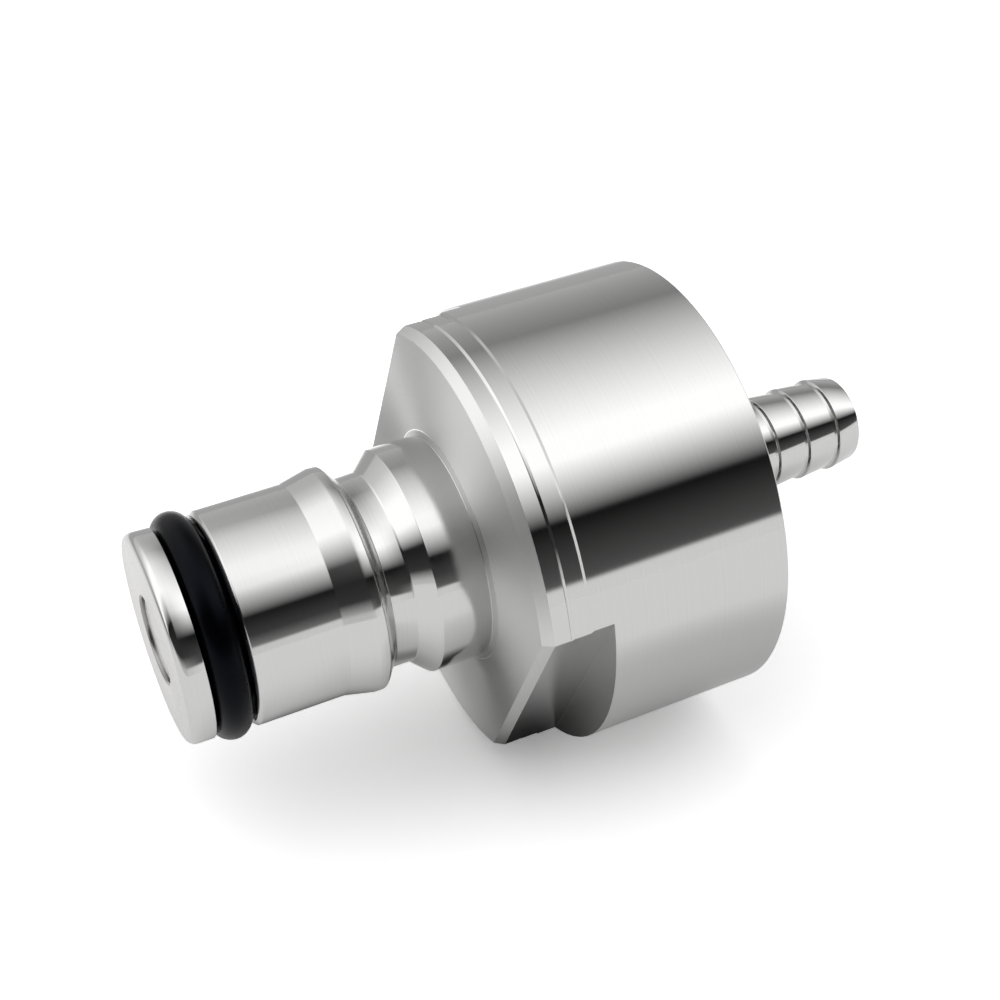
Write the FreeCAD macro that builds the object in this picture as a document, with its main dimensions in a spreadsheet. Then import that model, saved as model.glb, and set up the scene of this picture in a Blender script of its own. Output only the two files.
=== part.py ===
import FreeCAD, Part
import math
import os
import Sketcher

# Carbonation cap: a ball-lock post standing on a threaded cap that closes a 28 mm drinks bottle,
# with a sprung poppet valve in the post and a hose barb inside the cap. Millimetres.
# The axis is X: the post's nose points to -X and the barb to +X. The cap lies on its side with
# +Z up. The origin is the centre of the rim that the bottle goes in at, and all stations are
# counted from there.

# Driving dimensions. Lengths run along the axis and radii are measured from it.
SIZES = (
    ("barrel_radius", 16.5, "outside of the barrel"),
    ("barrel_length", 18.64, "flange face to rim"),
    ("rim_edge", 0.1, "broken outer edge of the rim"),
    ("front_band_step", 0.23, "front band's depth below the barrel"),
    ("flange_bevel_width", 0.38, "bevel round the flange's outline, measured across the axis"),
    ("flange_bevel_length", 0.78, "the same bevel, measured along the axis"),
    ("line_station", 1.96, "flange face to the turned line"),
    ("line_depth", 0.08, "depth of that line below the front band"),
    ("line_entry", 0.06, "steep front wall of the line, along the axis"),
    ("line_cone", 0.16, "cone from the line's floor up to the second band"),
    ("second_band_step", 0.18, "depth below the barrel of the band between the line and the step"),
    ("step_station", 3.46, "flange face to the step up to the barrel's full radius"),
    ("step_length", 0.12, "length of that step's cone"),
    ("flat_distance", 13.0, "axis to each wrench flat, for a 26 mm wrench"),
    ("flat_length", 5.09, "flange face to the end wall of the wrench flats"),
    ("flat_roll", 22.5, "degrees that the cap is rolled about its axis"),
    ("nose_radius", 7.69, "disc at the front of the post"),
    ("nose_length", 1.8, "thickness of that disc"),
    ("nose_round", 0.6, "rounding of its front edge"),
    ("ring_groove_length", 2.89, "groove for the post's O-ring"),
    ("ring_cord", 2.62, "cord diameter of the post's O-ring"),
    ("ring_radius", 8.27, "outside of the post's O-ring"),
    ("sleeve_radius", 7.88, "plain stretch behind the O-ring"),
    ("sleeve_length", 6.63, "length of that stretch"),
    ("sleeve_edge", 0.28, "broken front edge of that stretch"),
    ("lock_ramp_length", 2.15, "cone that lifts the locking balls"),
    ("lock_radius", 8.36, "crest that the balls pass"),
    ("lock_land_length", 0.66, "length of the crest"),
    ("lock_back_length", 0.9, "back slope down into the ball groove"),
    ("ball_groove_radius", 7.13, "floor of the ball groove"),
    ("ball_groove_length", 1.73, "length of that floor"),
    ("rear_ramp_length", 1.32, "cone behind the ball groove"),
    ("land_radius", 8.37, "rear land of the post"),
    ("land_length", 3.69, "length of the rear land"),
    ("base_radius", 8.72, "foot of the post's cone on the flange face"),
    ("base_length", 0.26, "length of that cone"),
    ("valve_hole_radius", 3.15, "hole in the nose that the poppet's head fills"),
    ("valve_hole_length", 2.2, "length of that hole"),
    ("valve_hole_edge", 0.12, "bevel at the hole's mouth"),
    ("head_gap", 0.26, "gap round the poppet's head, where the gas goes in"),
    ("valve_seat_length", 1.6, "conical seat behind the hole"),
    ("chamber_radius", 4.75, "spring chamber inside the post"),
    ("insert_bore_radius", 5.0, "bore that takes the barb insert, at the thread's outside"),
    ("insert_bore_length", 9.0, "cavity floor to the front end of that bore"),
    ("cavity_radius", 13.95, "bottle cavity, at the root of its thread"),
    ("cavity_depth", 12.3, "rim to the cavity's floor"),
    ("mouth_bevel", 0.8, "bevel at the cavity's mouth"),
    ("recess_radius", 6.65, "recess in the cavity floor for the insert's O-ring"),
    ("recess_depth", 1.24, "depth of that recess"),
    ("insert_ring_cord", 1.2, "cord diameter of the insert's O-ring"),
    ("gasket_thickness", 2.0, "flat gasket that the bottle's lip seals on"),
    ("spigot_length", 8.6, "insert's threaded spigot ahead of its hexagon"),
    ("hexagon_width", 14.0, "insert's hexagon across its flats"),
    ("hexagon_length", 3.5, "thickness of the hexagon"),
    ("hexagon_edge", 0.6, "bevel on the hexagon's corners, along the axis"),
    ("hexagon_gap", 0.5171, "gap between the hexagon's corners and the gasket round them"),
    ("gas_bore_radius", 2.1, "bore right through the insert"),
    ("neck_radius", 3.42, "plain neck of the barb, and the foot of each ridge"),
    ("barb_radius", 3.65, "crest of each ridge"),
    ("barb_start", 7.45, "rim to the first ridge"),
    ("barb_pitch", 2.67, "ridge to ridge"),
    ("barb_shoulder", 0.35, "length of each ridge's steep shoulder"),
    ("tip_radius", 3.3, "barb's tip"),
    ("tip_length", 2.4, "last ridge to the tip"),
    ("tip_edge", 0.2, "broken edge of the tip"),
    ("poppet_recess", 0.25, "nose face to the poppet's face"),
    ("seal_lead", 0.45, "start of the seat cone to the seal's front edge"),
    ("seal_nip", 0.05, "gap between seal and seat, measured across the axis"),
    ("seal_radius", 4.35, "outside of the poppet's seal"),
    ("seal_land", 0.75, "straight stretch of the seal behind its cone"),
    ("seal_groove_radius", 2.1, "poppet's waist inside the seal"),
    ("guide_length", 1.2, "poppet's guide disc"),
    ("tail_radius", 2.9, "fluted tail inside the spring"),
    ("flute_radius", 1.5, "each of the tail's flutes"),
    ("flute_depth", 1.1, "depth of each flute"),
    ("gas_slot_width", 2.6, "slots in the guide disc that let the gas by"),
    ("gas_slot_depth", 1.1, "depth of those slots"),
    ("poppet_travel", 3.2, "how far the poppet is pushed in"),
    ("spring_wire", 0.7, "wire diameter of the poppet's spring"),
    ("spring_radius", 3.95, "outside of that spring"),
    ("running_gap", 0.08, "radial clearance of the poppet's guide disc in the chamber"),
    ("seat_gap", 0.03, "clearance of seals and the insert in their seats"),
)
RIDGES = 3
FLUTES = 3
HEXAGON_SIDES = 6
FULL_TURN = 360
# Working turns of the spring, straight steps in each, and the pitch of its closed end turns
# in wire diameters. MITRED is how a sweep turns a corner.
SPRING_TURNS = 4
TURN_STEPS = 16
CLOSED_PITCH = 1.02
MITRED = 1
# Round sections of wire and rubber have this many sides
WIRE_SIDES = 6
POST_RING_SIDES = 12
INSERT_RING_SIDES = 8
# Cuts reach this many times further than what they cut
PAST = 1.5


class Length:
    """A length that knows its number and the sheet expression that gives it."""

    def __init__(self, number, text):
        self.number = number
        self.text = text

    @staticmethod
    def of(value):
        return value if isinstance(value, Length) else Length(float(value), repr(float(value)))

    def __add__(self, other):
        other = Length.of(other)
        return Length(self.number + other.number, f"({self.text} + {other.text})")

    def __sub__(self, other):
        other = Length.of(other)
        return Length(self.number - other.number, f"({self.text} - {other.text})")

    def __mul__(self, other):
        other = Length.of(other)
        return Length(self.number * other.number, f"({self.text} * {other.text})")

    def __truediv__(self, other):
        other = Length.of(other)
        return Length(self.number / other.number, f"({self.text} / {other.text})")

    def __neg__(self):
        return Length(-self.number, f"(-1 * {self.text})")


class Sizes:
    """The spreadsheet: each driving dimension is an attribute, as a Length."""

    def __init__(self, document, rows):
        self.sheet = document.addObject("Spreadsheet::Sheet", "Sizes")
        for row, (name, number, meaning) in enumerate(rows, start=1):
            self.sheet.set(f"A{row}", name.replace("_", " "))
            self.sheet.set(f"B{row}", str(number))
            self.sheet.setAlias(f"B{row}", name)
            self.sheet.set(f"C{row}", meaning)
            setattr(self, name, Length(number, f"Sizes.{name}"))


doc = FreeCAD.newDocument("carbonation_cap")
size = Sizes(doc, SIZES)
doc.recompute()
ZERO = Length.of(0)


def new_body(name):
    body = doc.addObject("PartDesign::Body", name)
    body.Label = name
    return body


def new_sketch(body, name, plane, offset=None):
    """A sketch on one of the body's own origin planes, moved along its normal by offset."""
    sketch = body.newObject("Sketcher::SketchObject", name)
    base = next(f for f in body.Origin.OriginFeatures if f.Role == plane)
    sketch.AttachmentSupport = (base, [""])
    sketch.MapMode = "FlatFace"
    if offset is not None:
        sketch.setExpression("AttachmentOffset.Base.z", offset.text)
    return sketch


def hold_point(sketch, edge, end, across, up):
    """Dimensions one end of an edge from the sketch's origin."""
    for kind, length in (("DistanceX", across), ("DistanceY", up)):
        rule = sketch.addConstraint(Sketcher.Constraint(kind, -1, 1, edge, end, length.number))
        sketch.setExpression(f"Constraints[{rule}]", length.text)


def outline(sketch, corners):
    """A closed outline of straight edges through corners, each dimensioned from the origin."""
    points = [FreeCAD.Vector(across.number, up.number, 0) for across, up in corners]
    first = sketch.GeometryCount
    count = len(points)
    for i, point in enumerate(points):
        sketch.addGeometry(Part.LineSegment(point, points[(i + 1) % count]), False)
    for i, (across, up) in enumerate(corners):
        following = first + (i + 1) % count
        sketch.addConstraint(Sketcher.Constraint("Coincident", first + i, 2, following, 1))
        hold_point(sketch, first + i, 1, across, up)


def circle(sketch, across, up, radius):
    """A circle with its centre and radius dimensioned."""
    centre = FreeCAD.Vector(across.number, up.number, 0)
    edge = sketch.addGeometry(Part.Circle(centre, FreeCAD.Vector(0, 0, 1), radius.number), False)
    hold_point(sketch, edge, 3, across, up)
    rule = sketch.addConstraint(Sketcher.Constraint("Radius", edge, radius.number))
    sketch.setExpression(f"Constraints[{rule}]", radius.text)


def turn(body, name, corners, groove=False):
    """Turns an outline of (station, radius) corners about the X axis, to add or to cut."""
    sketch = new_sketch(body, f"{name}_profile", "XY_Plane")
    outline(sketch, corners)
    kind = "PartDesign::Groove" if groove else "PartDesign::Revolution"
    feature = body.newObject(kind, name)
    feature.Profile = sketch
    feature.ReferenceAxis = (sketch, ["H_Axis"])
    feature.Angle = FULL_TURN
    doc.recompute()
    return feature


def pocket(body, name, sketch, length, reverse):
    """Cuts a sketch along the axis by length."""
    feature = body.newObject("PartDesign::Pocket", name)
    feature.Profile = sketch
    feature.setExpression("Length", length.text)
    feature.Reversed = reverse
    doc.recompute()
    return feature


def ring_edges(feature, station, radius, reach=0.01):
    """Names of the feature's circular edges about the X axis at that station and radius."""
    names = []
    for number, edge in enumerate(feature.Shape.Edges, start=1):
        curve = edge.Curve
        if not isinstance(curve, Part.Circle):
            continue
        along = abs(curve.Center.x - station.number)
        off_axis = math.hypot(curve.Center.y, curve.Center.z)
        if max(along, off_axis, abs(curve.Radius - radius.number)) < reach:
            names.append(f"Edge{number}")
    return names


def face_edges(feature, station, normal_x, reach=0.01):
    """Names of the outer edges of the flat face across the axis at that station."""
    for face in feature.Shape.Faces:
        middle = face.CenterOfMass
        flat = isinstance(face.Surface, Part.Plane)
        if flat and abs(middle.x - station.number) < reach and face.normalAt(0, 0).x * normal_x > 0.99:
            outer = face.OuterWire.Edges
            edges = feature.Shape.Edges
            return [f"Edge{n}" for n, e in enumerate(edges, start=1) if any(e.isSame(o) for o in outer)]
    return []


def ring_of_corners(count, radius):
    """Corners of a regular polygon, as offsets from its centre."""
    angles = [2 * math.pi * corner / count for corner in range(count)]
    return [(radius * math.cos(angle), radius * math.sin(angle)) for angle in angles]


def round_edges(body, name, base, edges, radius):
    feature = body.newObject("PartDesign::Fillet", name)
    feature.Base = (base, edges)
    feature.setExpression("Radius", radius.text)
    doc.recompute()
    return feature


def bevel_edges(body, name, base, edges, first, second):
    """A bevel with its own width on each side of the edge."""
    feature = body.newObject("PartDesign::Chamfer", name)
    feature.Base = (base, edges)
    feature.ChamferType = "Two distances"
    feature.setExpression("Size", first.text)
    feature.setExpression("Size2", second.text)
    doc.recompute()
    return feature


def around_axis(body, name, feature, count):
    """Repeats a cut evenly about the X axis."""
    pattern = body.newObject("PartDesign::PolarPattern", name)
    axis = next(f for f in body.Origin.OriginFeatures if f.Role == "X_Axis")
    pattern.Originals = [feature]
    pattern.Axis = (axis, [""])
    pattern.Angle = FULL_TURN
    pattern.Occurrences = count
    body.Tip = pattern
    doc.recompute()
    return pattern


# Stations that several pieces share
FLANGE = -size.barrel_length
LAND_FRONT = FLANGE - size.base_length - size.land_length
BALL_GROOVE_REAR = LAND_FRONT - size.rear_ramp_length
BALL_GROOVE_FRONT = BALL_GROOVE_REAR - size.ball_groove_length
LOCK_REAR = BALL_GROOVE_FRONT - size.lock_back_length
LOCK_FRONT = LOCK_REAR - size.lock_land_length
SLEEVE_REAR = LOCK_FRONT - size.lock_ramp_length
SLEEVE_FRONT = SLEEVE_REAR - size.sleeve_length
GROOVE_FRONT = SLEEVE_FRONT - size.ring_groove_length
NOSE = GROOVE_FRONT - size.nose_length
SEAT_FRONT = NOSE + size.valve_hole_length
SEAT_REAR = SEAT_FRONT + size.valve_seat_length
FLANGE_RADIUS = size.barrel_radius - size.front_band_step
SECOND_BAND_RADIUS = size.barrel_radius - size.second_band_step
CAVITY_FLOOR = -size.cavity_depth
INSERT_FRONT = CAVITY_FLOOR - size.spigot_length
HEXAGON_CORNER = size.hexagon_width / math.sqrt(3)
SEAL_FRONT = SEAT_FRONT + size.seal_lead
SEAL_SLOPE = (size.chamber_radius - size.valve_hole_radius) / size.valve_seat_length
SEAL_FRONT_RADIUS = size.valve_hole_radius + size.seal_lead * SEAL_SLOPE - size.seal_nip
SEAL_CREST = SEAL_FRONT + (size.seal_radius - SEAL_FRONT_RADIUS) / SEAL_SLOPE
SEAL_REAR = SEAL_CREST + size.seal_land
GUIDE_FRONT = SEAL_REAR + size.seat_gap
GUIDE_REAR = GUIDE_FRONT + size.guide_length
TAIL_END = INSERT_FRONT - size.poppet_travel - size.seat_gap
RING_ROOT = size.ring_radius - size.ring_cord - size.seat_gap


def make_cap_body():
    """One turned piece: post, flange and barrel, bored for the valve and the bottle."""
    body = new_body("cap_body")
    line = FLANGE + size.line_station
    line_floor = FLANGE_RADIUS - size.line_depth
    turn(body, "turned_outside", (
        (NOSE, ZERO),
        (NOSE, size.nose_radius),
        (GROOVE_FRONT, size.nose_radius),
        (GROOVE_FRONT, RING_ROOT),
        (SLEEVE_FRONT, RING_ROOT),
        (SLEEVE_FRONT, size.sleeve_radius - size.sleeve_edge),
        (SLEEVE_FRONT + size.sleeve_edge, size.sleeve_radius),
        (SLEEVE_REAR, size.sleeve_radius),
        (LOCK_FRONT, size.lock_radius),
        (LOCK_REAR, size.lock_radius),
        (BALL_GROOVE_FRONT, size.ball_groove_radius),
        (BALL_GROOVE_REAR, size.ball_groove_radius),
        (LAND_FRONT, size.land_radius),
        (FLANGE - size.base_length, size.land_radius),
        (FLANGE, size.base_radius),
        (FLANGE, FLANGE_RADIUS),
        (line, FLANGE_RADIUS),
        (line + size.line_entry, line_floor),
        (line + size.line_entry + size.line_cone, SECOND_BAND_RADIUS),
        (FLANGE + size.step_station, SECOND_BAND_RADIUS),
        (FLANGE + size.step_station + size.step_length, size.barrel_radius),
        (-size.rim_edge, size.barrel_radius),
        (ZERO, size.barrel_radius - size.rim_edge),
        (ZERO, ZERO),
    ))
    turn(body, "valve_bore", (
        (NOSE, ZERO),
        (NOSE, size.valve_hole_radius + size.valve_hole_edge),
        (NOSE + size.valve_hole_edge, size.valve_hole_radius),
        (SEAT_FRONT, size.valve_hole_radius),
        (SEAT_REAR, size.chamber_radius),
        (CAVITY_FLOOR - size.insert_bore_length, size.chamber_radius),
        (CAVITY_FLOOR - size.insert_bore_length, size.insert_bore_radius),
        (CAVITY_FLOOR, size.insert_bore_radius),
        (CAVITY_FLOOR, ZERO),
    ), groove=True)
    bored = turn(body, "bottle_cavity", (
        (CAVITY_FLOOR - size.recess_depth, ZERO),
        (CAVITY_FLOOR - size.recess_depth, size.recess_radius),
        (CAVITY_FLOOR, size.recess_radius),
        (CAVITY_FLOOR, size.cavity_radius),
        (-size.mouth_bevel, size.cavity_radius),
        (ZERO, size.cavity_radius + size.mouth_bevel),
        (ZERO, ZERO),
    ), groove=True)
    flats = new_sketch(body, "wrench_flats_outline", "YZ_Plane", FLANGE)
    reach = size.barrel_radius * PAST
    for side in (1, -1):
        near = size.flat_distance * side
        far = reach * side
        outline(flats, ((near, -reach), (far, -reach), (far, reach), (near, reach)))
    cut = pocket(body, "wrench_flats", flats, size.flat_length, True)
    assert cut.Shape.Volume < bored.Shape.Volume, "the wrench flats cut nothing"
    bevel = bevel_edges(body, "flange_bevel", cut, face_edges(cut, FLANGE, -1),
                        size.flange_bevel_width, size.flange_bevel_length)
    round_edges(body, "nose_edge", bevel, ring_edges(bevel, NOSE, size.nose_radius), size.nose_round)
    body.Placement = FreeCAD.Placement(FreeCAD.Vector(), FreeCAD.Rotation(FreeCAD.Vector(1, 0, 0), 0))
    body.setExpression("Placement.Rotation.Angle", size.flat_roll.text)
    return body


def make_ring(name, station, radius, cord, sides):
    """An O-ring: its cord's centre lies at a station and a radius."""
    body = new_body(name)
    corners = [(station + across, radius + up) for across, up in ring_of_corners(sides, cord / 2)]
    turn(body, f"{name}_turn", corners)
    return body


def make_post_ring():
    middle = GROOVE_FRONT + size.ring_groove_length / 2
    radius = size.ring_radius - size.ring_cord / 2
    return make_ring("post_o_ring", middle, radius, size.ring_cord, POST_RING_SIDES)


def make_insert_ring():
    middle = CAVITY_FLOOR - size.recess_depth / 2
    radius = size.recess_radius - size.seat_gap - size.insert_ring_cord / 2
    return make_ring("insert_o_ring", middle, radius, size.insert_ring_cord, INSERT_RING_SIDES)


def make_gasket():
    """Flat ring on the cavity floor, round the insert's hexagon."""
    body = new_body("bottle_gasket")
    rear = CAVITY_FLOOR + size.gasket_thickness
    outside = size.cavity_radius - size.seat_gap
    inside = HEXAGON_CORNER + size.hexagon_gap
    turn(body, "gasket_ring", (
        (CAVITY_FLOOR, inside),
        (CAVITY_FLOOR, outside),
        (rear, outside),
        (rear, inside),
    ))
    return body


def make_insert():
    """Barb insert: a spigot that screws in from the cavity, a hexagon and the hose barb."""
    body = new_body("barb_insert")
    hexagon_rear = CAVITY_FLOOR + size.hexagon_length
    spigot_radius = size.insert_bore_radius - size.seat_gap
    tip = size.barb_start + size.barb_pitch * (RIDGES - 1) + size.tip_length
    corners = [
        (INSERT_FRONT, ZERO),
        (INSERT_FRONT, spigot_radius),
        (CAVITY_FLOOR, spigot_radius),
        (CAVITY_FLOOR, HEXAGON_CORNER),
        (hexagon_rear - size.hexagon_edge, HEXAGON_CORNER),
        (hexagon_rear, HEXAGON_CORNER - size.hexagon_edge * math.sqrt(3)),
        (hexagon_rear, size.neck_radius),
    ]
    for ridge in range(RIDGES):
        foot = size.barb_start + size.barb_pitch * ridge
        corners.append((foot, size.neck_radius))
        corners.append((foot + size.barb_shoulder, size.barb_radius))
    corners += [
        (tip - size.tip_edge, size.tip_radius),
        (tip, size.tip_radius - size.tip_edge),
        (tip, ZERO),
    ]
    turned = turn(body, "turned_insert", corners)
    sketch = new_sketch(body, "hexagon_outline", "YZ_Plane", CAVITY_FLOOR)
    half = size.hexagon_width / 2
    side = size.hexagon_width / (2 * math.sqrt(3))
    reach = size.hexagon_width
    outline(sketch, ((half, side), (half, -side), (reach, -reach), (reach, reach)))
    cut = pocket(body, "hexagon_flat", sketch, size.hexagon_length, True)
    hexagon = around_axis(body, "hexagon", cut, HEXAGON_SIDES)
    assert hexagon.Shape.Volume < turned.Shape.Volume, "the hexagon cuts nothing"
    turn(body, "gas_bore", (
        (INSERT_FRONT, ZERO),
        (INSERT_FRONT, size.gas_bore_radius),
        (tip, size.gas_bore_radius),
        (tip, ZERO),
    ), groove=True)
    return body


def make_poppet():
    """Valve poppet: head, waist for its seal, slotted guide disc and fluted tail."""
    body = new_body("poppet")
    head_radius = size.valve_hole_radius - size.head_gap
    guide_radius = size.chamber_radius - size.running_gap
    turned = turn(body, "turned_poppet", (
        (NOSE + size.poppet_recess, ZERO),
        (NOSE + size.poppet_recess, head_radius),
        (SEAL_FRONT - size.seat_gap, head_radius),
        (SEAL_FRONT - size.seat_gap, size.seal_groove_radius - size.seat_gap),
        (GUIDE_FRONT, size.seal_groove_radius - size.seat_gap),
        (GUIDE_FRONT, guide_radius),
        (GUIDE_REAR, guide_radius),
        (GUIDE_REAR, size.tail_radius),
        (TAIL_END, size.tail_radius),
        (TAIL_END, ZERO),
    ))
    slot = new_sketch(body, "gas_slot_outline", "YZ_Plane", GUIDE_FRONT)
    half = size.gas_slot_width / 2
    floor = guide_radius - size.gas_slot_depth
    reach = guide_radius * PAST
    outline(slot, ((-half, floor), (half, floor), (half, reach), (-half, reach)))
    cut = pocket(body, "gas_slot", slot, size.guide_length, True)
    slots = around_axis(body, "gas_slots", cut, FLUTES)
    assert slots.Shape.Volume < turned.Shape.Volume, "the gas slots cut nothing"
    flute = new_sketch(body, "flute_outline", "YZ_Plane", GUIDE_REAR)
    circle(flute, ZERO, size.tail_radius - size.flute_depth + size.flute_radius, size.flute_radius)
    cut = pocket(body, "flute", flute, TAIL_END - GUIDE_REAR, True)
    fluted = around_axis(body, "flutes", cut, FLUTES)
    assert fluted.Shape.Volume < slots.Shape.Volume, "the flutes cut nothing"
    return body


def make_poppet_seal():
    """Rubber ring on the poppet's waist, with a cone that closes on the seat."""
    body = new_body("poppet_seal")
    turn(body, "seal_ring", (
        (SEAL_FRONT, size.seal_groove_radius),
        (SEAL_FRONT, SEAL_FRONT_RADIUS),
        (SEAL_CREST, size.seal_radius),
        (SEAL_REAR, size.seal_radius),
        (SEAL_REAR, size.seal_groove_radius),
    ))
    return body


def make_spring():
    """Compression spring with closed ends, between the poppet's guide disc and the insert.

    Its wire is a hexagonal section swept with mitred corners along short straight steps. Half a
    turn at each end lies flat on its seat, and the next half turn closes on it.
    """
    wire = size.spring_wire.number
    radius = size.spring_radius.number - wire / 2
    closing = wire * CLOSED_PITCH
    pitch = ((INSERT_FRONT - GUIDE_REAR).number - wire - 2 * closing) / SPRING_TURNS
    half = TURN_STEPS // 2
    flat_end = [0] * half
    closed_end = [closing / half] * half
    advances = flat_end + closed_end + [pitch / TURN_STEPS] * (TURN_STEPS * SPRING_TURNS)
    station = GUIDE_REAR.number + wire / 2
    points = [FreeCAD.Vector(station, radius, 0)]
    for step, advance in enumerate(advances + closed_end + flat_end, start=1):
        angle = 2 * math.pi * step / TURN_STEPS
        station += advance
        points.append(FreeCAD.Vector(station, radius * math.cos(angle), radius * math.sin(angle)))
    axis = FreeCAD.Vector(1, 0, 0)
    outward = (points[1] - points[0]).normalize().cross(axis)
    corners = [points[0] + axis * x + outward * y for x, y in ring_of_corners(WIRE_SIDES, wire / 2)]
    section = Part.makePolygon(corners + corners[:1])
    spring = doc.addObject("Part::Feature", "poppet_spring")
    spring.Label = "poppet_spring"
    spring.Shape = Part.makePolygon(points).makePipeShell([section], True, False, MITRED)
    return spring


pieces = [
    make_cap_body(),
    make_post_ring(),
    make_insert(),
    make_insert_ring(),
    make_gasket(),
    make_poppet(),
    make_poppet_seal(),
    make_spring(),
]
doc.recompute()

for item in doc.Objects:
    for trouble in ("Invalid", "Error"):
        assert trouble not in item.State, f"{item.Name} is {trouble}"
for piece in pieces:
    assert not piece.Shape.isNull() and piece.Shape.isValid(), f"{piece.Label} has no valid shape"

os.makedirs("parts", exist_ok=True)
for piece in pieces:
    piece.Shape.exportStep(f"parts/{piece.Label}.step")
    box = piece.Shape.BoundBox
    print(f"{piece.Label}: {len(piece.Shape.Solids)} solid, {piece.Shape.Volume:.1f} mm3, "
          f"x {box.XMin:.2f} to {box.XMax:.2f}, radius {box.YMax:.2f}")
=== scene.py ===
"""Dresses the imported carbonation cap: turned steel body, sprung valve, seals and hose barb.

The cap lies on its side with its axis along X, the post to -X and the hose barb to +X. Sizes are
in millimetres, counted from the rim that the bottle goes in at, and meshes are made in metres.
"""

from __future__ import annotations

import logging
import math
from dataclasses import dataclass
from enum import Enum
from typing import Any, Iterable, Sequence

import bmesh
import bpy
from mathutils import Matrix, Vector

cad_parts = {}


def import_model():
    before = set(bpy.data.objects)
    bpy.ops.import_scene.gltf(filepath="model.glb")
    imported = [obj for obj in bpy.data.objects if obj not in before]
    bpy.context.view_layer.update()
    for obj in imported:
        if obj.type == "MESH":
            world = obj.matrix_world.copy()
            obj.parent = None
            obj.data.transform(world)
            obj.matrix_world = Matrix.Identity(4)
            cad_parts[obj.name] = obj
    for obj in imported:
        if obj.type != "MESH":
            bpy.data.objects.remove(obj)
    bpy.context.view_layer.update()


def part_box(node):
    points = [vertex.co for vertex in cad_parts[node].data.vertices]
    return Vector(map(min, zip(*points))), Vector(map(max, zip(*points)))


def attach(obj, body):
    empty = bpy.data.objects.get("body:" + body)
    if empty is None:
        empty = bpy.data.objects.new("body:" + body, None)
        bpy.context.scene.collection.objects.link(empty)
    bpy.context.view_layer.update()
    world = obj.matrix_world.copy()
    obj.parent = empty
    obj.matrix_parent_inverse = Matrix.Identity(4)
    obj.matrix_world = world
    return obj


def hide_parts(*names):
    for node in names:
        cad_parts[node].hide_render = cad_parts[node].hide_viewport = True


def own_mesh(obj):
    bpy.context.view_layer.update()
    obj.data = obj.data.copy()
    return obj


MM = 0.001
AXIS = Vector((1.0, 0.0, 0.0))
CENTRE = Vector((0.0, 0.0, 0.0))
# Steps in a full turn of a turned piece
STEPS_ROUND = 256
# Segments of a broken edge, twice as many from WIDE_EDGE mm on, and its round profile
EDGE_SEGMENTS = 3
WIDE_EDGE = 0.3
ROUND_PROFILE = 0.5
# Edges that turn further than this are sharp, and faces that turn less than FLAT_ANGLE are one
SHARP_ANGLE = math.radians(20)
FLAT_ANGLE = math.radians(1)
# Points nearer than this, in mm, are in one place
SAME_PLACE = 1e-3
# Spacing of the smudges on steel and of the dusty patches on rubber, in mm
SMUDGE_SPACING = 6.0
DUST_SPACING = 4.0
# Sum of marks and smudges where steel is smoothest and roughest
SMOOTHEST = 0.7
ROUGHEST = 1.3
# How much rougher dusty rubber is
DUST_ROUGHNESS = 0.15
HEXAGON_SIDES = 6

log = logging.getLogger("carbonation_cap")


def linear(colour: str) -> tuple[float, float, float, float]:
    """Turns a colour from sRGB to linear.

    Args:
        colour: The colour as sRGB hex, such as #C8C8C6.

    Returns:
        Linear red, green and blue, and an alpha of 1.
    """
    shares = [int(colour[i : i + 2], 16) / 255 for i in (1, 3, 5)]
    red, green, blue = (s / 12.92 if s <= 0.04045 else ((s + 0.055) / 1.055) ** 2.4 for s in shares)
    return red, green, blue, 1.0


def add_node(
    tree: bpy.types.NodeTree,
    kind: str,
    values: dict[str | int, Any] | None = None,
    links: dict[str | int, bpy.types.NodeSocket] | None = None,
    **options: Any,
) -> bpy.types.Node:
    """Adds a node with its options, input values and input links.

    Args:
        tree: The node tree that it goes in.
        kind: Blender's type name of the node.
        values: Input name or number to its value.
        links: Input name or number to the output that feeds it.
        **options: The node's own properties.

    Returns:
        The new node.
    """
    node = tree.nodes.new(kind)
    for name, option in options.items():
        setattr(node, name, option)
    for place, value in (values or {}).items():
        node.inputs[place].default_value = value
    for place, output in (links or {}).items():
        tree.links.new(output, node.inputs[place])
    return node


def new_material(name: str) -> bpy.types.Material:
    """Makes a material with an empty node tree.

    Args:
        name: The material's name.

    Returns:
        The new material.
    """
    material = bpy.data.materials.new(name)
    material.use_nodes = True
    material.node_tree.nodes.clear()
    return material


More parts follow.
